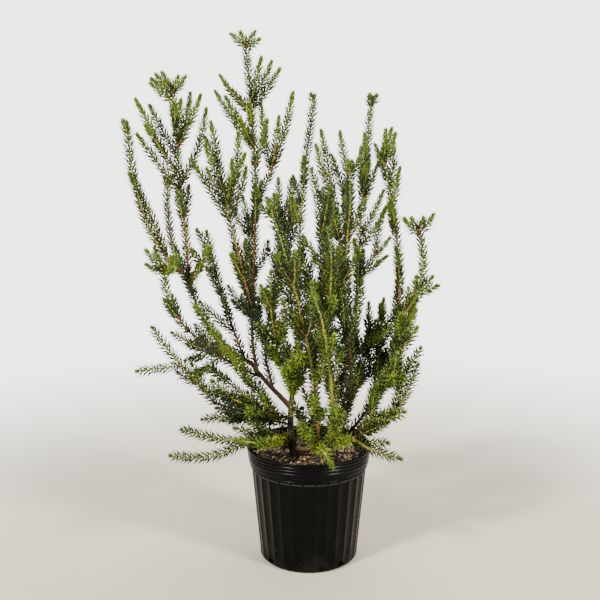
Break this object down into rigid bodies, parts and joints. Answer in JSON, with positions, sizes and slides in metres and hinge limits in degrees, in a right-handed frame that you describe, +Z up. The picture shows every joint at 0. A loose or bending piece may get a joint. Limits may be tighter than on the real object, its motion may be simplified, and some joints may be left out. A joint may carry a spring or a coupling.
{
  "type": "potted heath banksia",
  "caption": "Open, many-stemmed evergreen shrub with fine needle foliage and no blossom, growing in a round black fluted nursery pot.",
  "frame": {"origin": "centre of the pot's flat underside", "axes": "+Z up along the pot's axis, -Y towards the front, +X to the right seen from the front"},
  "size_m": [0.5364, 0.3758, 0.9856],
  "materials": {
    "pot": "satin black moulded plastic",
    "potting_mix": "loose composted bark, matte",
    "trunk": "rough grey-brown bark",
    "left_bough": "red-brown young bark",
    "left_leader_bough": "red-brown young bark",
    "top_leader_bough": "red-brown young bark",
    "left_spreading_bough": "red-brown young bark",
    "inner_back_bough": "red-brown young bark",
    "centre_bough": "red-brown young bark",
    "centre_right_bough": "red-brown young bark",
    "centre_back_bough": "red-brown young bark",
    "right_low_bough": "red-brown young bark",
    "right_outer_bough": "red-brown young bark",
    "right_inner_bough": "red-brown young bark",
    "right_spreading_bough": "red-brown young bark",
    "right_lower_bough": "red-brown young bark",
    "right_front_bough": "red-brown young bark",
    "low_left_bough": "red-brown young bark",
    "left_leader_foliage": "fine dark green needles with bright young tips",
    "far_left_foliage": "fine dark green needles with bright young tips",
    "left_back_foliage": "fine dark green needles with bright young tips",
    "left_inner_tuft": "fine dark green needles with bright young tips",
    "left_cluster_foliage": "fine dark green needles with bright young tips",
    "inner_left_foliage": "fine dark green needles with bright young tips",
    "inner_left_low_foliage": "fine dark green needles with bright young tips",
    "top_leader_foliage": "fine dark green needles with bright young tips",
    "top_left_foliage": "fine dark green needles with bright young tips",
    "top_back_foliage": "fine dark green needles with bright young tips",
    "inner_back_foliage": "fine dark green needles with bright young tips",
    "centre_foliage": "fine dark green needles with bright young tips",
    "centre_back_foliage": "fine dark green needles with bright young tips",
    "centre_front_foliage": "fine dark green needles with bright young tips",
    "centre_right_foliage": "fine dark green needles with bright young tips",
    "centre_right_front_foliage": "fine dark green needles with bright young tips",
    "right_star_foliage": "fine dark green needles with bright young tips",
    "far_back_foliage": "fine dark green needles with bright young tips",
    "right_front_foliage": "fine dark green needles with bright young tips",
    "right_inner_foliage": "fine dark green needles with bright young tips",
    "right_outer_foliage": "fine dark green needles with bright young tips",
    "far_right_foliage": "fine dark green needles with bright young tips",
    "far_right_low_foliage": "fine dark green needles with bright young tips",
    "right_skirt_foliage": "fine dark green needles with bright young tips",
    "low_right_foliage": "fine dark green needles with bright young tips",
    "low_right_front_foliage": "fine dark green needles with bright young tips",
    "right_back_foliage": "fine dark green needles with bright young tips",
    "front_tall_foliage": "fine dark green needles with bright young tips",
    "front_bright_foliage": "fine dark green needles with bright young tips",
    "rim_front_foliage": "fine dark green needles with bright young tips",
    "front_low_foliage": "fine dark green needles with bright young tips",
    "rim_right_foliage": "fine dark green needles with bright young tips",
    "low_left_foliage": "fine dark green needles with bright young tips",
    "low_left_back_foliage": "fine dark green needles with bright young tips",
    "rim_left_foliage": "fine dark green needles with bright young tips",
    "drooping_left_foliage": "fine dark green needles with bright young tips",
    "back_low_foliage": "fine dark green needles with bright young tips",
    "back_left_foliage": "fine dark green needles with bright young tips",
    "lower_left_foliage": "fine dark green needles with bright young tips",
    "centre_low_foliage": "fine dark green needles with bright young tips",
    "right_low_inner_foliage": "fine dark green needles with bright young tips",
    "right_back_low_foliage": "fine dark green needles with bright young tips"
  },
  "bodies": {
    "root": {"pot": "pot", "potting_mix": "potting_mix", "trunk": "trunk", "left_bough": "left_bough", "left_leader_bough": "left_leader_bough", "top_leader_bough": "top_leader_bough", "left_spreading_bough": "left_spreading_bough", "inner_back_bough": "inner_back_bough", "centre_bough": "centre_bough", "centre_right_bough": "centre_right_bough", "centre_back_bough": "centre_back_bough", "right_low_bough": "right_low_bough", "right_outer_bough": "right_outer_bough", "right_inner_bough": "right_inner_bough", "right_spreading_bough": "right_spreading_bough", "right_lower_bough": "right_lower_bough", "right_front_bough": "right_front_bough", "low_left_bough": "low_left_bough", "left_leader_foliage": "left_leader_foliage", "far_left_foliage": "far_left_foliage", "left_back_foliage": "left_back_foliage", "left_inner_tuft": "left_inner_tuft", "left_cluster_foliage": "left_cluster_foliage", "inner_left_foliage": "inner_left_foliage", "inner_left_low_foliage": "inner_left_low_foliage", "top_leader_foliage": "top_leader_foliage", "top_left_foliage": "top_left_foliage", "top_back_foliage": "top_back_foliage", "inner_back_foliage": "inner_back_foliage", "centre_foliage": "centre_foliage", "centre_back_foliage": "centre_back_foliage", "centre_front_foliage": "centre_front_foliage", "centre_right_foliage": "centre_right_foliage", "centre_right_front_foliage": "centre_right_front_foliage", "right_star_foliage": "right_star_foliage", "far_back_foliage": "far_back_foliage", "right_front_foliage": "right_front_foliage", "right_inner_foliage": "right_inner_foliage", "right_outer_foliage": "right_outer_foliage", "far_right_foliage": "far_right_foliage", "far_right_low_foliage": "far_right_low_foliage", "right_skirt_foliage": "right_skirt_foliage", "low_right_foliage": "low_right_foliage", "low_right_front_foliage": "low_right_front_foliage", "right_back_foliage": "right_back_foliage", "front_tall_foliage": "front_tall_foliage", "front_bright_foliage": "front_bright_foliage", "rim_front_foliage": "rim_front_foliage", "front_low_foliage": "front_low_foliage", "rim_right_foliage": "rim_right_foliage", "low_left_foliage": "low_left_foliage", "low_left_back_foliage": "low_left_back_foliage", "rim_left_foliage": "rim_left_foliage", "drooping_left_foliage": "drooping_left_foliage", "back_low_foliage": "back_low_foliage", "back_left_foliage": "back_left_foliage", "lower_left_foliage": "lower_left_foliage", "centre_low_foliage": "centre_low_foliage", "right_low_inner_foliage": "right_low_inner_foliage", "right_back_low_foliage": "right_back_low_foliage"}
  },
  "joints": []
}
